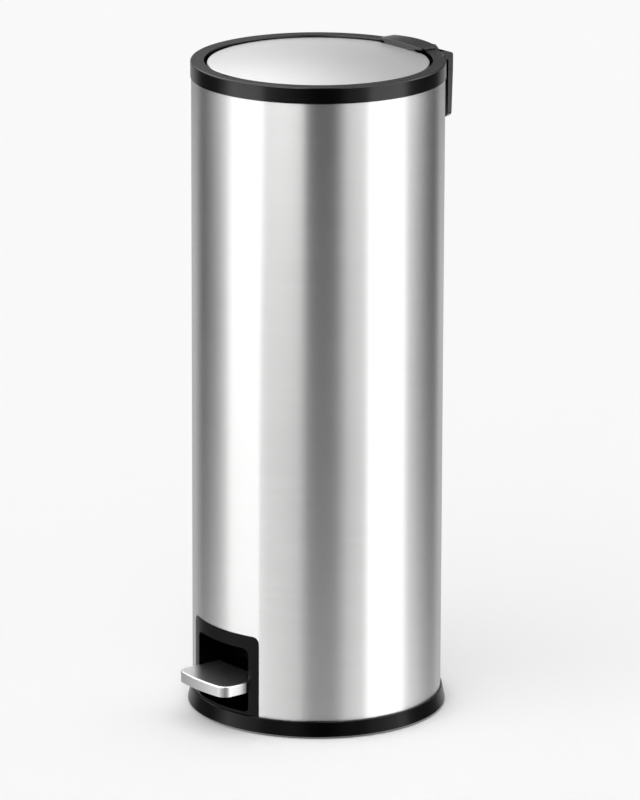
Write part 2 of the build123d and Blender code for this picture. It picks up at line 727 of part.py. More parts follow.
def lid_skin():
    crown = LID_EDGE_Z + LID_RISE
    dome_r = (LID_R**2 + LID_RISE**2) / (2 * LID_RISE)

    def dome(r, inset):
        return crown - dome_r + sqrt((dome_r - inset) ** 2 - r**2)

    outer_r = LID_R - LID_EDGE_R
    inner_r = LID_R - LID_SKIN_T
    turn = inner_r - LID_EDGE_R + LID_SKIN_T
    edge_z = dome(outer_r, 0) - LID_EDGE_R
    top = ThreePointArc((0, crown), (outer_r / 2, dome(outer_r / 2, 0)), (outer_r, dome(outer_r, 0)))
    under = ThreePointArc(
        (turn, dome(turn, LID_SKIN_T)),
        (turn / 2, dome(turn / 2, LID_SKIN_T)),
        (0, crown - LID_SKIN_T),
    )
    edge = ThreePointArc(
        (outer_r, dome(outer_r, 0)),
        (outer_r + LID_EDGE_R * sin(radians(45)), edge_z + LID_EDGE_R * cos(radians(45))),
        (LID_R, edge_z),
    )
    hem = Polyline((LID_R, edge_z), (LID_R, HEM_Z), (inner_r, HEM_Z), (inner_r, edge_z), under @ 0)
    axis_line = Line(under @ 1, top @ 0)
    lines = (top, edge, hem, under, axis_line)
    section = make_face([piece for line in lines for piece in line.edges()])
    return revolve(Plane.XZ * section, Axis.Z) & lid_plan()


def cap_screw_places():
    """Frames on the underside of the cap's tongue, with Z pointing up into the pan."""
    x = TONGUE_W / 4
    y = LID_REAR_Y - TONGUE_LEN / 2
    return [Pos(side * x, y, PAN_TOP_Z - PAN_T - TONGUE_T) for side in (-1, 1)]


def cap_screw_holes():
    hole = Cylinder(SCREW_R + THREAD_GAP, 2 * (TONGUE_T + PAN_T + SEAT_GAP))
    return [place * hole for place in cap_screw_places()]


def lid_pan():
    low = PAN_TOP_Z - PAN_T
    tuck_r = LID_R - LID_SKIN_T - SEAT_GAP
    pan = turned(
        (0, low),
        (LID_R - LID_SKIN_T - PAN_RIM_T, low),
        (LID_R - LID_SKIN_T - PAN_RIM_T, PAN_LOW_Z),
        (LID_R, PAN_LOW_Z),
        (LID_R, HEM_Z),
        (tuck_r, HEM_Z),
        (tuck_r, PAN_TOP_Z),
        (0, PAN_TOP_Z),
    )
    rib = block(PAN_RIB_IN, PAN_RIB_OUT, -PAN_RIB_T / 2, PAN_RIB_T / 2, PAN_LOW_Z, low + PAN_T / 2)
    pan += [Rot(0, 0, turn * 360 / PAN_RIB_COUNT) * rib for turn in range(PAN_RIB_COUNT)]
    for radius in (PAN_RIB_IN, PAN_RING_R):
        pan += pipe(radius + PAN_RIB_T / 2, radius - PAN_RIB_T / 2, PAN_LOW_Z, low + PAN_T / 2)
    return (pan & lid_plan()) - cap_screw_holes()


def hinge_ear():
    """Outline of an ear from the cap's rear lip to the hinge pin."""
    lip_in = RING_R + SLIP_GAP
    root = Pos((lip_in + CAP_R) / 2, HEIGHT) * Rectangle(CAP_R - lip_in, 2 * CAP_LIP_DROP)
    return hull(Pos(HINGE_Y, HINGE_Z) * Circle(EYE_R), root)


def hinge_cap():
    half = CAP_W / 2
    end_z = CAP_LOW_Z + CAP_END_T
    crown = ThreePointArc((half, end_z), (0, CAP_LOW_Z + CAP_T), (-half, end_z))
    sides = Polyline((-half, end_z), (-half, CAP_LOW_Z), (half, CAP_LOW_Z), (half, end_z))
    plate = front_plate(make_face([*crown.edges(), *sides.edges()]), -CAP_R - PAST, -CAP_FRONT_Y)
    plate &= drum(CAP_R, HEIGHT, HEIGHT + 2 * CAP_T)
    plate = fillet(plate.edges().filter_by(Axis.Z).group_by(Axis.Y)[0], CAP_CORNER_R)
    plate = fillet(plate.edges().group_by(Axis.Z)[-1], CAP_EDGE_R)
    lip = pipe(CAP_R, RING_R + 2 * SLIP_GAP, HEIGHT - CAP_LIP_DROP, CAP_LOW_Z + CAP_END_T / 2)
    lip &= block(-half, half, CAP_FRONT_Y, CAP_R, 0, 2 * HEIGHT)
    tongue_z = PAN_TOP_Z - PAN_T - TONGUE_T
    inside = drum(LID_R - CAP_ROOT_IN, tongue_z, CAP_LOW_Z + CAP_END_T / 2)
    root = inside & block(-CAP_ROOT_W / 2, CAP_ROOT_W / 2, CAP_FRONT_Y, CAP_R, tongue_z, 2 * HEIGHT)
    tongue = block(
        -TONGUE_W / 2,
        TONGUE_W / 2,
        LID_REAR_Y - TONGUE_LEN,
        CAP_FRONT_Y + MERGE,
        tongue_z,
        tongue_z + TONGUE_T,
    )
    cap = plate + lip + root + tongue
    for x in (-EAR_X, EAR_X):
        cap += side_plate(hinge_ear(), x - EAR_T / 2, x + EAR_T / 2)
    cap -= rod_x(HINGE_PIN_R + RUN_GAP + BUSH_T, HINGE_Y, HINGE_Z, -CAP_W, CAP_W)
    gap = CRANK_T / 2 + SEAT_GAP
    cap -= block(-gap, gap, RING_R, CAP_R + PAST, HEIGHT - PAST, CAP_LOW_Z)
    return cap - cap_screw_holes() - crank_screw_holes()


def hinge_bushes():
    bush = rod_x(HINGE_PIN_R + RUN_GAP + BUSH_T, HINGE_Y, HINGE_Z, EAR_X - EAR_T / 2, EAR_X + EAR_T / 2)
    bush -= rod_x(HINGE_PIN_R + RUN_GAP, HINGE_Y, HINGE_Z, 0, CAP_W)
    return mirrored(bush)


def cap_screws():
    one = screw(SCREW_R, SCREW_HEAD_R, SCREW_HEAD_H / 2, TONGUE_T + PAN_T)
    return [place * one for place in cap_screw_places()]


def crank_flange_span():
    """Front and rear of the crank's flange, between the cap's root and its rear lip."""
    return LID_R + CRANK_FLANGE_CLEAR, RING_R - CRANK_FLANGE_CLEAR


def crank_screw_places():
    front, rear = crank_flange_span()
    x = (CRANK_FLANGE_W + CRANK_T) / 4
    return [Pos(side * x, (front + rear) / 2, CAP_LOW_Z - CRANK_FLANGE_T) for side in (-1, 1)]


def crank_screw_holes():
    reach = CRANK_FLANGE_T + CAP_END_T / 2 + SEAT_GAP
    hole = Cylinder(SCREW_R + THREAD_GAP, 2 * reach)
    return [place * hole for place in crank_screw_places()]


def lid_crank():
    """Steel arm under the cap: it turns on the hinge pin, and its slot takes the rod's bent end."""
    front, rear = crank_flange_span()
    eye = Pos(HINGE_Y, HINGE_Z) * Circle(EYE_R)
    end = Pos(ROD_Y, ROD_TOP_Z) * Circle(CRANK_END_R)
    flange_z = CAP_LOW_Z - CRANK_FLANGE_T / 2
    top = Pos((front + rear) / 2, flange_z) * Rectangle(rear - front, CRANK_FLANGE_T)
    outline = hull(eye, end) + hull(eye, top)
    near = CRANK_ARM / CRANK_LEN
    inner_end = Pos(HINGE_Y - CRANK_ARM * near, HINGE_Z - CRANK_ARM * sqrt(1 - near**2))
    slot = hull(inner_end * Circle(CRANK_SLOT_HALF), Pos(ROD_Y, ROD_TOP_Z) * Circle(CRANK_SLOT_HALF))
    outline = outline - slot - Pos(HINGE_Y, HINGE_Z) * Circle(HINGE_PIN_R + RUN_GAP)
    arm = side_plate(outline, -CRANK_T / 2, CRANK_T / 2)
    half = CRANK_FLANGE_W / 2
    arm += block(-half, half, front, rear, CAP_LOW_Z - CRANK_FLANGE_T, CAP_LOW_Z)
    return arm - crank_screw_holes()


def crank_screws():
    one = screw(SCREW_R, CRANK_HEAD_R, SCREW_HEAD_H, CRANK_FLANGE_T + CAP_END_T / 2)
    return [place * one for place in crank_screw_places()]


# Lift rod


def lift_rod():
    path = FilletPolyline(
        (-ROD_END, ROD_Y, ROD_TOP_Z),
        (ROD_X, ROD_Y, ROD_TOP_Z),
        (ROD_X, ROD_Y, ROD_FOOT_Z),
        (-FOOT_END, ROD_Y, ROD_FOOT_Z),
        radius=ROD_BEND_R / 2,
    )
    return wire(path, ROD_R)


def rod_clip():
    near = -ROD_END + SEAT_GAP
    clip = rod_x(CLIP_R, ROD_Y, ROD_TOP_Z, near, near + CLIP_T)
    return clip - rod_x(ROD_R, ROD_Y, ROD_TOP_Z, near - PAST, near + PAST)


# Pedal


def tread_plan(inset):
    """Plan of the tread: straight sides, a gently bowed front and rounded front corners."""
    half = OPENING_W / 2 - TREAD_GAP - inset
    front = TREAD_FRONT_Y + inset
    bow = Pos(0, front + TREAD_BOW_R) * Circle(TREAD_BOW_R)
    outline = bow & polygon((-half, front), (half, front), (half, TREAD_REAR_Y), (-half, TREAD_REAR_Y))
    corners = outline.vertices().group_by(Axis.Y)[0]
    return fillet(corners, TREAD_CORNER_R - inset)


def pedal_tread():
    slab = extrude(Pos(0, 0, TREAD_LOW_Z) * tread_plan(0), TREAD_H)
    slab = fillet(slab.edges().group_by(Axis.Z)[-1], TREAD_EDGE_R)
    hollow = extrude(Pos(0, 0, TREAD_LOW_Z - PAST) * tread_plan(TREAD_T), TREAD_H + PAST - TREAD_T)
    return slab - hollow


def lever_tongue_front():
    return TREAD_REAR_Y - TONGUE_REACH


def tread_screw_places():
    """Frames on the underside of the lever's tongue, with Z pointing up into the core."""
    front = lever_tongue_front()
    rear = TREAD_REAR_Y - TREAD_SCREW_IN
    return [Pos(0, y, TREAD_LOW_Z) for y in (front + TREAD_SCREW_IN, rear)]


def tread_screw_holes():
    reach = LEVER_T + SCREW_BITE
    hole = Cylinder(SCREW_R + THREAD_GAP, 2 * (reach + SEAT_GAP))
    return [place * hole for place in tread_screw_places()]


def tread_core():
    core = extrude(Pos(0, 0, TREAD_LOW_Z) * tread_plan(TREAD_T + CORE_GAP), TREAD_H - TREAD_T)
    half = LEVER_W / 2 + SEAT_GAP
    front = lever_tongue_front() - LEVER_T
    core -= block(-half, half, front, 0, 0, TREAD_LOW_Z + LEVER_T)
    side = OPENING_W / 2 - TREAD_GAP - TREAD_T - CORE_WALL / 2
    rear = TREAD_REAR_Y - CORE_WALL
    roof = TREAD_TOP_Z - CORE_WALL
    pocket = block(half + CORE_WALL / 2, side, front + CORE_WALL, rear, 0, roof)
    return core - mirrored(pocket) - tread_screw_holes()


def tread_screws():
    one = screw(SCREW_R, SCREW_HEAD_R, SCREW_HEAD_H, LEVER_T + SCREW_BITE)
    return [place * one for place in tread_screw_places()]


def pedal_lever():
    """Bent steel strip: a level tongue under the tread, a drop behind it and a straight run to the rod."""
    tongue_z = TREAD_LOW_Z + LEVER_T / 2
    path = FilletPolyline(
        (lever_tongue_front(), tongue_z),
        (NECK_Y, tongue_z),
        (KNEE_Y, KNEE_Z),
        (ROD_Y + TAIL_PAST, TAIL_Z),
        radius=LEVER_BEND_R,
    )
    strip = make_face(offset(path, LEVER_T / 2, side=Side.BOTH).edges())
    lever = side_plate(strip, -LEVER_W / 2, LEVER_W / 2)
    seat = Pos(PIVOT_Y, lever_line(PIVOT_Y)) * Rot(0, 0, degrees(LEVER_LEAN))
    outline = hull(Pos(PIVOT_Y, PIVOT_Z) * Circle(PIVOT_EAR_R), seat * Rectangle(PIVOT_EAR_L, LEVER_T))
    lever += mirrored(side_plate(outline, LEVER_W / 2 - PIVOT_EAR_T, LEVER_W / 2))
    lever -= rod_x(PIVOT_PIN_R + RUN_GAP, PIVOT_Y, PIVOT_Z, -LEVER_W, LEVER_W)
    return lever - tread_screw_holes()


def pivot_bushes():
    near = LEVER_W / 2
    bush = rod_x(PIVOT_EAR_R, PIVOT_Y, PIVOT_Z, near, near + BUSH_W)
    return mirrored(bush - rod_x(PIVOT_PIN_R + RUN_GAP, PIVOT_Y, PIVOT_Z, 0, LEVER_W))


PARTS = {
    "outer_shell": outer_shell,
    "top_ring": top_ring,
    "rear_bracket": rear_bracket,
    "bracket_screws": bracket_screws,
    "rear_handle": rear_handle,
    "handle_screws": handle_screws,
    "hinge_pin": hinge_pin,
    "base": base,
    "foot_ring": foot_ring,
    "pedal_frame": pedal_frame,
    "frame_screws": frame_screws,
    "inner_bucket": inner_bucket,
    "bucket_bail": bucket_bail,
    "pivot_pin": pivot_pin,
    "pin_clips": pin_clips,
    "pedal_bumper": pedal_bumper,
    "upper_rod_guide": lambda: rod_guide(HEIGHT - UPPER_GUIDE_DROP),
    "lower_rod_guide": lambda: rod_guide(LOWER_GUIDE_Z),
    "lid_bumpers": lid_bumpers,
    "lid_skin": lid_skin,
    "lid_pan": lid_pan,
    "hinge_cap": hinge_cap,
    "hinge_bushes": hinge_bushes,
    "cap_screws": cap_screws,
    "lid_crank": lid_crank,
    "crank_screws": crank_screws,
    "lift_rod": lift_rod,
    "rod_clip": rod_clip,
    "pedal_tread": pedal_tread,
    "tread_core": tread_core,
    "tread_screws": tread_screws,
    "pedal_lever": pedal_lever,
    "pivot_bushes": pivot_bushes,
}

os.makedirs("parts", exist_ok=True)
for name, make in PARTS.items():
    made = make()
    shape = Compound(children=made) if isinstance(made, list) else made
    export_step(shape, f"parts/{name}.step")

print("lid hinge", HINGE_Y, HINGE_Z, "opens", LID_OPEN)
print("rod stroke", ROD_STROKE, "metres per radian", ROD_STROKE / 1000 / radians(LID_OPEN))
print("pedal pivot", PIVOT_Y, PIVOT_Z, "swing", degrees(LEVER_SWING))
print("pedal turn for each turn of the lid", degrees(LEVER_SWING) / LID_OPEN)
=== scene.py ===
# %% [markdown]
# # Dressing a pedal bin
# The solids of this bin were drawn and packed before this lesson starts. Here they get their finishes,
# a few fine pieces that a solid model leaves out, a studio and a camera.
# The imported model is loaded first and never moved: every new piece is placed from its boxes, in metres.

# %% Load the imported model
from math import pi, radians

import bmesh
import bpy
import numpy as np
from mathutils import Matrix, Vector


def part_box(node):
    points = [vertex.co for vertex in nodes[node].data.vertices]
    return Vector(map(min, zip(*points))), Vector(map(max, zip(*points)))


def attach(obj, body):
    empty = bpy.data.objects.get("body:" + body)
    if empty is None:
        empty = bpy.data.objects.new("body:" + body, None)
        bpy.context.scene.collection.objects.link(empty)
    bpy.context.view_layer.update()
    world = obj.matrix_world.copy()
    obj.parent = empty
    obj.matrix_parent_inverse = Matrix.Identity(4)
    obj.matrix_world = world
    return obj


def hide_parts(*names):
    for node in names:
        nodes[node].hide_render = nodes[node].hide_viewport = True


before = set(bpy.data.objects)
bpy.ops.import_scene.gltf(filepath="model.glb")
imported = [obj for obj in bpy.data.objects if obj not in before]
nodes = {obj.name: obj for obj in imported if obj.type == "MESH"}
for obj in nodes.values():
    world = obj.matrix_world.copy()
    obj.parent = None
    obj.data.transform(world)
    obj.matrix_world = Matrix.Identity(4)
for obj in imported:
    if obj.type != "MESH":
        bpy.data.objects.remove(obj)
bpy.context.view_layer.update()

# %% [markdown]
# ## Shader arithmetic
# A finish is a graph of nodes, and a long list of "add a node, link a node" lines hides what it works out.
# One small class wraps a socket, so that plain arithmetic adds the Math nodes by itself:
# `0.3 + 0.1 * lines` is then a graph. Every other node comes from its one method, `node`.


# %% A socket that does arithmetic
class Graph:
    """A socket in a shader graph: arithmetic on it adds Math nodes, and node() adds any other node."""

    def __init__(self, tree, socket=None):
        self.tree = tree
        self.socket = socket

    def feed(self, target, value):
        """Links value to the target socket if it is a Graph, and otherwise sets it there."""
        if isinstance(value, Graph):
            self.tree.links.new(value.socket, target)
        else:
            target.default_value = value

    def node(self, kind, settings=None, sockets=None, out=0):
        """Adds a node, first with its settings and then with its sockets, and returns one output."""
        made = self.tree.nodes.new("ShaderNode" + kind)
        for name, value in (settings or {}).items():
            setattr(made, name, value)
        for name, value in (sockets or {}).items():
            self.feed(made.inputs[name], value)
        return Graph(self.tree, made.outputs[out] if len(made.outputs) else None)

    def output(self, name):
        """Another output of the same node."""
        return Graph(self.tree, self.socket.node.outputs[name])

    def math(self, operation, *values):
        return self.node("Math", {"operation": operation}, dict(enumerate(values)))

    def __add__(self, other):
        return self.math("ADD", self, other)

    def __sub__(self, other):
        return self.math("SUBTRACT", self, other)

    def __rsub__(self, other):
        return self.math("SUBTRACT", other, self)

    def __mul__(self, other):
        return self.math("MULTIPLY", self, other)

    __radd__ = __add__
    __rmul__ = __mul__

    def mixed(self, low, high):
        """Colour that goes from low to high as this value goes from 0 to 1."""
        return self.node("Mix", {"data_type": "RGBA"}, {0: self, 6: low, 7: high}, out=2)

    def bump(self, strength, depth):
        """Normal of a surface on which this value stands for a height of up to depth metres."""
        return self.node("Bump", None, {"Strength": strength, "Distance": depth, "Height": self})


print("shader arithmetic ready")

# %% [markdown]
# ## Starting a finish
# Every finish here is one Principled shader. What is the same all over the surface, such as the
# anisotropy of brushed metal, is set on the shader's own socket, because the export keeps it there.
# What varies reads Object coordinates, so a pattern stays on its piece when the piece moves.


# %% One shader, one place
def start_finish(name, constants):
    """A new material: returns it, a function that feeds its shader, and its Object coordinates."""
    material = bpy.data.materials.new(name)
    material.use_nodes = True
    tree = material.node_tree
    shader = tree.nodes["Principled BSDF"]
    graph = Graph(tree)
    for socket, value in constants.items():
        shader.inputs[socket].default_value = value

    def feed(**inputs):
        for socket, value in inputs.items():
            graph.feed(shader.inputs[socket.replace("_", " ")], value)

    return material, feed, graph.node("TexCoord", out="Object")


def noise(place, scale, detail, contrast=0.6):
    """Noise from 0 to 1 on place times one scale per axis: a small scale draws it out along that axis."""
    drawn = place.node("VectorMath", {"operation": "MULTIPLY"}, {0: place, 1: scale})
    sockets = {"Vector": drawn, "Scale": 1.0, "Detail": detail, "Roughness": contrast}
    return place.node("TexNoise", {"noise_dimensions": "3D"}, sockets, out="Fac")


def grey(value, warmth=0.0):
    """A grey as red, green, blue and alpha, a little warmer or cooler than neutral."""
    return (value * (1 + warmth), value, value * (1 - warmth), 1.0)


finishes = {}
print("finish tools ready")

# %% [markdown]
# ## Brushed steel on the body
# The tube is rolled from sheet that went under an abrasive belt, so it carries fine lines round the body.
# They could be drawn one by one. It is better to stretch noise: x and y change slowly round the tube,
# so a small scale on them and a very large one on z gives lines that run round with no seam.
# The lines scatter light up and down only, which is anisotropy turned by a quarter. That is why
# the studio's panels show on the tube as upright bands with crisp edges.

# %% Body steel
FINE_LINES = (16.0, 16.0, 2600.0)
BROAD_LINES = (6.0, 6.0, 700.0)
CLOUDS = (9.0, 9.0, 6.0)
BODY_TONES = (grey(0.71, 0.004), grey(0.81, 0.002))
BODY_GLOSS = 0.22
FINE_SHARE = 0.7
LINE_BUMP = (0.03, 0.00002)
QUARTER_TURN = 0.25


def brushed_steel(name, fine_scale, broad_scale, tones, gloss, anisotropy):
    """Steel whose tone and roughness follow fine and broad brushing lines and a faint cloudiness."""
    constants = {"Metallic": 1.0, "Anisotropic": anisotropy, "Anisotropic Rotation": QUARTER_TURN}
    made, feed, place = start_finish(name, constants)
    fine = noise(place, fine_scale, 3.0)
    broad = noise(place, broad_scale, 2.0)
    cloud = noise(place, CLOUDS, 2.0)
    lines = FINE_SHARE * fine + (1 - FINE_SHARE) * broad
    feed(
        Base_Color=lines.mixed(*tones),
        Roughness=gloss + 0.06 * lines + 0.02 * cloud,
        Normal=fine.bump(*LINE_BUMP),
    )
    return made


finishes["body_steel"] = brushed_steel(
    "body_steel", FINE_LINES, BROAD_LINES, BODY_TONES, BODY_GLOSS, anisotropy=0.95
)
print("body steel lines per metre:", FINE_LINES[2])

# %% [markdown]
# ## Brushed steel on the lid and the tread
# The lid is pressed from a disc that was brushed as it turned, so its lines are circles:
# noise is stretched along the radius from the can's axis instead of along z.
# The tread was brushed straight across before it was bent, so its lines run along x.

# %% Lid steel and tread steel
LID_FINE, LID_BROAD = (20.0, 20.0, 2200.0), (8.0, 8.0, 500.0)
LID_TONES = (grey(0.80), grey(0.90))
LID_GLOSS = 0.32
TREAD_FINE, TREAD_BROAD = (25.0, 2200.0, 2200.0), (10.0, 500.0, 500.0)
TREAD_TONES = (grey(0.86), grey(0.94))
TREAD_GLOSS = 0.25


def turned_place(place):
    """Coordinates in which z is the distance from the can's axis, so that lines become circles."""
    x = place.node("SeparateXYZ", None, {0: place})
    y = x.output("Y")
    square = x * x + y * y
    return place.node("CombineXYZ", None, {0: x, 1: y, 2: square.math("SQRT", square)})


def lid_steel():
    """Steel with fine circular lines round the can's axis."""
    made, feed, place = start_finish("lid_steel", {"Metallic": 1.0})
    turned = turned_place(place)
    fine = noise(turned, LID_FINE, 3.0)
    broad = noise(turned, LID_BROAD, 2.0)
    lines = FINE_SHARE * fine + (1 - FINE_SHARE) * broad
    feed(
        Base_Color=lines.mixed(*LID_TONES),
        Roughness=LID_GLOSS + 0.06 * lines,
        Normal=fine.bump(*LINE_BUMP),
    )
    return made


finishes["lid_steel"] = lid_steel()
finishes["tread_steel"] = brushed_steel(
    "tread_steel", TREAD_FINE, TREAD_BROAD, TREAD_TONES, TREAD_GLOSS, anisotropy=0.0
)
print("steels:", list(finishes))

# %% [markdown]
# ## Moulded plastics, rubber and small metal
# The ring, cap, frame, base and grip are black polypropylene from a spark-eroded mould, which leaves
# a very fine grain and a satin gloss. The base and the frame, which get kicked, have a little less sheen,
# and the bucket is duller still. A grain is noise at about half a millimetre that moves the normal
# a little. The colour is near black but never flat. Screws, pins and wires are zinc plated.

# %% Plastics, rubber and plated steel
BLACK = (grey(0.0006), grey(0.0016))
BLACK_GLOSS = 0.18
BLACK_GRAIN, BLACK_PIT = 2200.0, 0.000008


def moulded(name, tones, gloss, grain, pit, sheen=0.5):
    """Moulded material: two close tones in clouds, a roughness of about gloss, and a grain of fine pits."""
    made, feed, place = start_finish(name, {"IOR": 1.5, "Specular IOR Level": sheen})
    cloud = noise(place, (30.0, 30.0, 30.0), 3.0)
    pits = noise(place, (grain, grain, grain), 2.0)
    feed(
        Base_Color=cloud.mixed(*tones),
        Roughness=gloss + 0.06 * (cloud - 0.5) + 0.04 * (pits - 0.5),
        Normal=pits.bump(0.10, pit),
    )
    return made


finishes["black_plastic"] = moulded("black_plastic", BLACK, BLACK_GLOSS, BLACK_GRAIN, BLACK_PIT)
finishes["low_plastic"] = moulded("low_plastic", BLACK, BLACK_GLOSS, BLACK_GRAIN, BLACK_PIT, sheen=0.26)
finishes["liner_plastic"] = moulded("liner_plastic", (grey(0.014), grey(0.022)), 0.45, 1500.0, 0.00006)
finishes["nylon"] = moulded("nylon", (grey(0.62, 0.05), grey(0.72, 0.04)), 0.45, 1800.0, 0.00004)
finishes["rubber"] = moulded("rubber", (grey(0.010), grey(0.018)), 0.70, 1200.0, 0.00010)


def plated_steel():
    """Zinc-plated steel: a faint spangle in the tone and drawing lines in the roughness."""
    made, feed, place = start_finish("plated_steel", {"Metallic": 1.0})
    spangle = noise(place, (220.0, 220.0, 220.0), 3.0)
    drawn = noise(place, (300.0, 300.0, 40.0), 2.0)
    feed(
        Base_Color=spangle.mixed(grey(0.50, 0.01), grey(0.66, -0.02)),
        Roughness=0.26 + 0.16 * drawn,
        Normal=drawn.bump(0.08, 0.00004),
    )
    return made


finishes["plated_steel"] = plated_steel()
print("finishes:", sorted(finishes))

# %% [markdown]
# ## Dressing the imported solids
# Each solid already names its material slot in the record. Most take the finish of that name.
# The three steel pieces that were brushed in different ways get their own, and so do the base and frame.

# %% Give every node its finish
OWN_FINISH = {
    "outer_shell": "body_steel",
    "lid_skin": "lid_steel",
    "pedal_tread": "tread_steel",
    "base": "low_plastic",
    "pedal_frame": "low_plastic",
}

for name, node in nodes.items():
    for slot in node.material_slots:
        kind = OWN_FINISH.get(name) or slot.material.name.split(".")[0]
        slot.material = finishes[kind]
print("dressed:", len(nodes))

# %% [markdown]
# ## Surfaces from formulas
# The fine pieces and the studio are grids of points worked out by a formula, row by row, and joined by
# four-sided faces. They could be modelled by hand, but a formula can be read, checked and changed.


# %% Grids to meshes
WELD_REACH = 1e-7
SHARP = radians(40)


def surface(name, points):
    """Mesh of one or more grids of points, rows by columns: columns run round and close, poles are welded."""
    grids = points.reshape(-1, *points.shape[-3:])
    count, rows, columns = grids.shape[:3]
    row, column = np.meshgrid(np.arange(rows - 1), np.arange(columns), indexing="ij")
    first = row * columns + column
    second = row * columns + (column + 1) % columns
    quads = np.stack([first, second, second + columns, first + columns], -1)
    quads = quads.reshape(1, -1, 4) + (np.arange(count) * rows * columns)[:, None, None]
    mesh = bpy.data.meshes.new(name)
    mesh.from_pydata(grids.reshape(-1, 3).tolist(), [], quads.reshape(-1, 4).tolist())
    weld = bmesh.new()
    weld.from_mesh(mesh)
    bmesh.ops.remove_doubles(weld, verts=weld.verts, dist=WELD_REACH)
    weld.to_mesh(mesh)
    weld.free()
    mesh.polygons.foreach_set("use_smooth", np.ones(len(mesh.polygons), bool))
    mesh.set_sharp_from_angle(angle=SHARP)
    made = bpy.data.objects.new(name, mesh)
    bpy.context.scene.collection.objects.link(made)
    return made


def turn(radius, height, angle):
    """Points at a radius, a height and an angle round the can's axis; angle 0 is the pedal's side."""
    return np.stack(np.broadcast_arrays(radius * np.sin(angle), -radius * np.cos(angle), height), -1)


def between(low, high, share):
    """Low where share is 0, high where it is 1."""
    return low + (high - low) * share


print("surfaces ready")

# %% [markdown]
# ## Weld seam down the back
# The tube is a rolled sheet, and its two edges are welded and planished at the back, under the grip.
# What is left is a low bead with faint ripples, one for each step of the weld. It is a flat ellipse
# drawn along z, half of it sunk in the sheet. The ripples make it a little higher and lower.

# %% A low rippled bead
SEAM_HALF = 0.0009
SEAM_PROUD = 0.00025
RIPPLE = 0.004
RIPPLE_SHARE = 0.2
ROWS_PER_RIPPLE = 6
SEAM_FOOT_Z = 0.0185
SEAM_CLEAR = 0.004


def seam_bead(radius, low, high):
    """Ellipses round a line at the back, stacked along z and drawn to a point at both ends.

    Half axes: SEAM_HALF across, and h(z) = SEAM_PROUD (1 + RIPPLE_SHARE sin(2 pi z / RIPPLE)) outwards.
    """
    z = np.linspace(low, high, int(ROWS_PER_RIPPLE * (high - low) / RIPPLE))[:, None]
    round_it = np.linspace(0, 2 * pi, 12, endpoint=False)[None, :]
    size = np.ones_like(z)
    size[[0, -1]] = 0.0
    proud = SEAM_PROUD * (1 + RIPPLE_SHARE * np.sin(2 * pi * z / RIPPLE))
    x = size * SEAM_HALF * np.cos(round_it)
    y = radius + size * proud * np.sin(round_it)
    return np.stack(np.broadcast_arrays(x, y, z), -1)


shell_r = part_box("outer_shell")[1][0]
seam_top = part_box("rear_bracket")[0][2] - SEAM_CLEAR
seam = surface("weld_seam", seam_bead(shell_r, SEAM_FOOT_Z, seam_top))
seam.data.materials.append(finishes["body_steel"])
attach(seam, "can")
print("seam metres:", round(seam_top - SEAM_FOOT_Z, 3))

# %% [markdown]
# ## Cross-recess screws
# The solids' screws have plain heads. The real ones are driven with a cross-tip screwdriver, which
# shows when the bin is turned over or the lid is open. Each head is rings round the screw's axis:
# the recess is a ring whose radius follows two crossed bars, and the rings outside it grow round.

# %% Screws with a driven recess
SHANK_R = 0.0016
TIP_LENGTH = 0.001
RECESS_LONG, RECESS_WIDE = 0.60, 0.13
RECESS_DEEP = 0.7
DOME_DROP = 0.4
# Node of each pair of screws: the body it rides on and the height of its heads
HEADS = {
    "frame_screws": ("can", 0.0022),
    "tread_screws": ("pedal", 0.0022),
    "cap_screws": ("lid", 0.0011),
    "crank_screws": ("lid", 0.0022),
}


def screw(head_r, head_h, length):
    """Screw along z whose head faces down: rings r(t), z from the recess over the dome to the shank's tip.

    Recess: r(t) = max(min(a / |cos t|, b / |sin t|), min(b / |cos t|, a / |sin t|)), two crossed bars.
    Dome: z(r) = DOME_DROP head_h (r / head_r)^2.
    """
    t = np.linspace(0, 2 * pi, 96, endpoint=False) + pi / 96
    across, up_down = np.abs(np.cos(t)), np.abs(np.sin(t))
    a, b = RECESS_LONG * head_r, RECESS_WIDE * head_r
    cross = np.maximum(np.minimum(a / across, b / up_down), np.minimum(b / across, a / up_down))
    full = np.full_like(t, head_r)
    dome = [between(cross, full, share) for share in (0.0, 0.25, 0.5, 0.75, 1.0)]
    shank = np.full_like(t, SHANK_R)
    r = np.stack([0 * t, 0.6 * cross, 0.85 * cross, *dome, full, shank, shank, 0 * t])
    deep, seat, tip = (np.full_like(t, depth) for depth in (RECESS_DEEP * head_h, head_h, length))
    rise = [DOME_DROP * head_h * (reach / head_r) ** 2 for reach in dome]
    z = np.stack([deep, deep, 0.6 * deep, *rise, seat, seat, tip - TIP_LENGTH, tip])
    return np.stack([r * np.sin(t), -r * np.cos(t), z], -1)


for name, (body, head_h) in HEADS.items():
    low, high = (np.array(corner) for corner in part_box(name))
    size = high - low
    head_r = min(size[:2]) / 2
    apart = np.array([size[0] / 2 - head_r, size[1] / 2 - head_r, 0.0])
    middle = np.array([*(low + high)[:2] / 2, low[2]])
    pair = np.stack([screw(head_r, head_h, size[2]) + middle + side * apart for side in (-1, 1)])
    driven = surface("driven_" + name, pair)
    driven.data.materials.append(finishes["plated_steel"])
    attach(driven, body)
    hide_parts(name)
    print(driven.name, "faces:", len(driven.data.polygons))

# %% [markdown]
# ## Floor
# A bin stands on the floor, and the photograph's floor is a seamless pale sweep. A wide disc does
# the same here: it is large enough that its edge is never in view, and it takes the soft shadow.

# %% A wide pale disc
FLOOR_R = 40.0
FLOOR_TONES = (grey(0.946), grey(0.952))

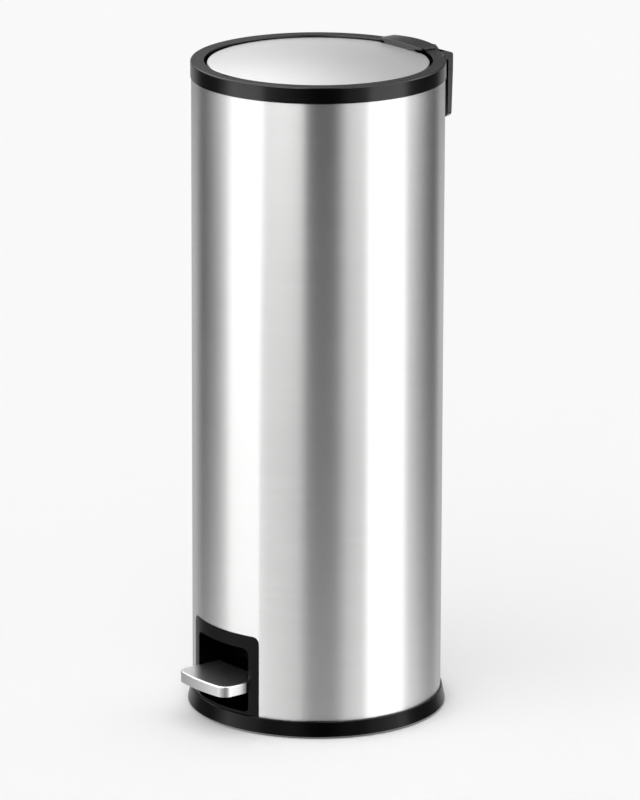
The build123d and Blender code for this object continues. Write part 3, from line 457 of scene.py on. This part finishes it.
around = np.linspace(0, 2 * pi, 96, endpoint=False)[None, :]
out = np.array([FLOOR_R, 12.0, 4.0, 1.0, 0.3, 0.0])[:, None]
floor = surface("floor", turn(out, 0.0 * out, around))
paint, feed, place = start_finish("floor_paint", {"Specular IOR Level": 0.0})
feed(Base_Color=noise(place, (3.0, 3.0, 3.0), 2.0).mixed(*FLOOR_TONES), Roughness=0.9)
floor.data.materials.append(paint)
floor.visible_glossy = False
print("floor radius:", FLOOR_R)

# %% [markdown]
# ## Panels round the bin
# Brushed metal shows nothing but its surroundings. A photographer stands white panels on both sides,
# dark cards between them and a soft box overhead, and those make the bands on the tube and the sheen
# on the lid. They could be many separate cards. One round wall whose glow is a function of angle and
# height does the same and is easy to adjust. Only reflections see it, so it adds no light to the floor.

# %% Levels of the panels and cards
VIEW_ANGLE = radians(51.2)
WALL_R = 3.0

# Across the wall: angle from the camera in degrees, then the glow low down, beside the bin and above it
ACROSS = np.array((
    (-180, 0.55, 0.62, 0.75),
    (-152, 0.50, 0.58, 0.70),
    (-144, 0.48, 0.56, 0.66),
    (-136, 0.32, 0.32, 0.45),
    (-128, 0.18, 0.10, 0.25),
    (-115, 0.20, 0.10, 1.00),
    (-102, 0.25, 0.14, 2.20),
    (-92, 0.35, 0.70, 2.60),
    (-82, 0.45, 2.60, 2.20),
    (-52, 0.45, 2.60, 2.20),
    (-47, 0.30, 0.65, 2.60),
    (-31, 0.22, 0.30, 3.20),
    (-15, 0.14, 0.12, 2.90),
    (-9, 0.05, 0.05, 0.35),
    (-3, 0.01, 0.01, 0.03),
    (14, 0.01, 0.01, 0.03),
    (20, 0.05, 0.05, 0.85),
    (27, 0.20, 0.40, 1.80),
    (43, 0.35, 0.70, 2.20),
    (49, 1.00, 2.60, 2.20),
    (81, 1.00, 2.60, 2.60),
    (89, 0.60, 0.50, 3.20),
    (98, 0.45, 0.18, 2.80),
    (110, 0.35, 0.10, 1.90),
    (122, 0.25, 0.10, 0.80),
    (131, 0.25, 0.10, 0.76),
    (138, 0.34, 0.30, 0.74),
    (144, 0.46, 0.58, 0.70),
    (152, 0.52, 0.62, 0.70),
    (180, 0.55, 0.62, 0.75),
))
# The floor's glow in front, and how much it grows with each degree from FLOOR_SIDE_FROM on
FLOOR_GLOW = 1.85
FLOOR_SIDE_GLOW = 0.019
FLOOR_SIDE_FROM, FLOOR_SIDE_SPAN = 20, 110
# A dim strip at the height that the ring's side mirrors
DIM = 0.10
# The soft box, right and left, below and above its dark band
BAND_GLOW = 0.15
BAND_HEIGHT = 1.33
BOX_BELOW = (1.25, 2.10)
BOX_ABOVE = (0.42, 1.62)
print("panel edges:", len(ACROSS))

# %% [markdown]
# ## From levels to a glow
# Cards have edges, and a card that stands close to the bin has a soft one. So each change from one level
# to the next is an S-curve. A pair of numbers says where it starts and how long it is, in metres
# of height, or in degrees where it goes round the wall.

# %% The wall's glow as a function
BESIDE_FROM = (-0.55, 0.20)
DIM_FROM = (-0.09, 0.22)
ABOVE_FROM = (0.45, 0.20)
FLOOR_DOWN_FROM = (1.15, 0.25)
BEHIND_FROM = (100, 30)
BOX_FROM = (0.75, 0.20)
BOX_ABOVE_FROM = (1.1, 0.5)


def smooth(value, start=0.0, length=1.0):
    """0 up to start, 1 from start + length on, and an S-curve between."""
    t = np.clip((value - start) / length, 0, 1)
    return t * t * (3 - 2 * t)


def box_glow(angle, height):
    """Soft box behind and above the bin, brighter to the left, over a dark band that flat tops mirror."""
    from_back = (angle + 360) % 360 - 180
    left = smooth(0.3 + 0.2 * from_back + 0.2 * (height - 1.4))
    high = smooth(height, *BOX_ABOVE_FROM)
    box = between(between(*BOX_BELOW, left), between(*BOX_ABOVE, left), high)
    return between(BAND_GLOW, box, smooth(np.abs(height - BAND_HEIGHT) / 0.2 - 1.2))


def glow(angle, height):
    """Panels and cards by their angle, the pale floor below them, and the soft box behind and above."""
    turned = (np.degrees(angle - VIEW_ANGLE) + 180) % 360 - 180
    low, beside, above = (np.interp(turned, ACROSS[:, 0], column) for column in ACROSS.T[1:])
    level = between(low, beside, smooth(height, *BESIDE_FROM))
    level = level * between(1.0, DIM, smooth(height, *DIM_FROM))
    level = between(level, above, smooth(height, *ABOVE_FROM))
    aside = np.clip(np.abs(turned) - FLOOR_SIDE_FROM, 0, FLOOR_SIDE_SPAN)
    level = between(level, FLOOR_GLOW + FLOOR_SIDE_GLOW * aside, smooth(-height, *FLOOR_DOWN_FROM))
    behind = smooth(np.abs(turned), *BEHIND_FROM)
    return between(level, box_glow(turned, height), behind * smooth(height, *BOX_FROM))


print("glow in front, beside the bin:", round(float(glow(VIEW_ANGLE, 0.0)), 3))

# %% [markdown]
# ## The wall itself
# The wall is a tube of many narrow faces, and each of its points carries the glow as a number. Its material
# is a lamp that reads that number. The camera and the floor don't see it.

# %% A tube that glows
angles = np.linspace(0, 2 * pi, 1080, endpoint=False)[None, :]
heights = np.concatenate([[-8.0, -3.0, -1.0], np.linspace(-0.8, 3.0, 77), [4.0, 8.0]])[:, None]
wall = surface("panels", turn(WALL_R, heights, angles))
shine = wall.data.attributes.new("glow", "FLOAT", "POINT")
shine.data.foreach_set("value", glow(angles, heights).astype(np.float32).ravel())
light = bpy.data.materials.new("panel_light")
light.use_nodes = True
light.node_tree.nodes.clear()
light.cycles.emission_sampling = "NONE"
start = Graph(light.node_tree)
level = start.node("Attribute", {"attribute_name": "glow"}, out="Fac")
start.node("OutputMaterial", None, {"Surface": start.node("Emission", None, {"Strength": level})})
wall.data.materials.append(light)
for ray in ("camera", "diffuse", "transmission", "volume_scatter", "shadow"):
    setattr(wall, "visible_" + ray, False)
print("wall faces:", len(wall.data.polygons))

# %% [markdown]
# ## Light
# An even white world lights the bin from all round, and one very soft lamp, from the front and the left,
# puts the shadow behind it on the right. Together they light a white card to just white, so colours
# render as written.

# %% World and lamp
FILL = 0.85
KEY = 0.59
KEY_SPREAD = radians(60)
KEY_LEFT, KEY_FRONT = 0.45, 0.6

world = bpy.data.worlds.new("studio")
bpy.context.scene.world = world
world.use_nodes = True
backdrop = world.node_tree.nodes["Background"]
backdrop.inputs["Color"].default_value = grey(1.0)
backdrop.inputs["Strength"].default_value = FILL

right = Vector((np.cos(VIEW_ANGLE), np.sin(VIEW_ANGLE), 0.0))
away = Vector((-np.sin(VIEW_ANGLE), np.cos(VIEW_ANGLE), 0.0))
up = Vector((0.0, 0.0, 1.0))

key = bpy.data.lights.new("key", "SUN")
key.energy = KEY
key.angle = KEY_SPREAD
lamp = bpy.data.objects.new("key", key)
bpy.context.scene.collection.objects.link(lamp)
lamp.visible_glossy = False
lamp.rotation_euler = (up - KEY_LEFT * right - KEY_FRONT * away).to_track_quat("Z", "Y").to_euler()
bpy.context.scene.view_settings.view_transform = "Standard"
print("fill", FILL, "key", KEY)

# %% [markdown]
# ## Camera
# The photograph looks down a little at the corner between the pedal and the right side, from far off.
# A long lens keeps the tube's sides nearly parallel. The numbers come from the ring's and the base's
# ellipses.

# %% Long lens from above the right front
DISTANCE = 6.0
EYE_HEIGHT = 2.0068
PITCH = 0.2752
ROLL = 0.003
ASIDE = 0.0027
FOCAL_PIXELS = 6254.6
LONG_SIDE_PIXELS = 800

lens = bpy.data.cameras.new("camera")
lens.sensor_width = 36.0
lens.lens = FOCAL_PIXELS / LONG_SIDE_PIXELS * lens.sensor_width
lens.clip_start, lens.clip_end = 0.1, 100.0
camera = bpy.data.objects.new("camera", lens)
bpy.context.scene.collection.objects.link(camera)
spot = -DISTANCE * away + ASIDE * right + EYE_HEIGHT * up
level_turn = Matrix.Rotation(VIEW_ANGLE, 4, "Z")
tip_down = Matrix.Rotation(pi / 2 - PITCH, 4, "X")
camera.matrix_world = Matrix.Translation(spot) @ level_turn @ tip_down @ Matrix.Rotation(ROLL, 4, "Z")
bpy.context.scene.camera = camera
print("lens mm:", round(lens.lens, 1))
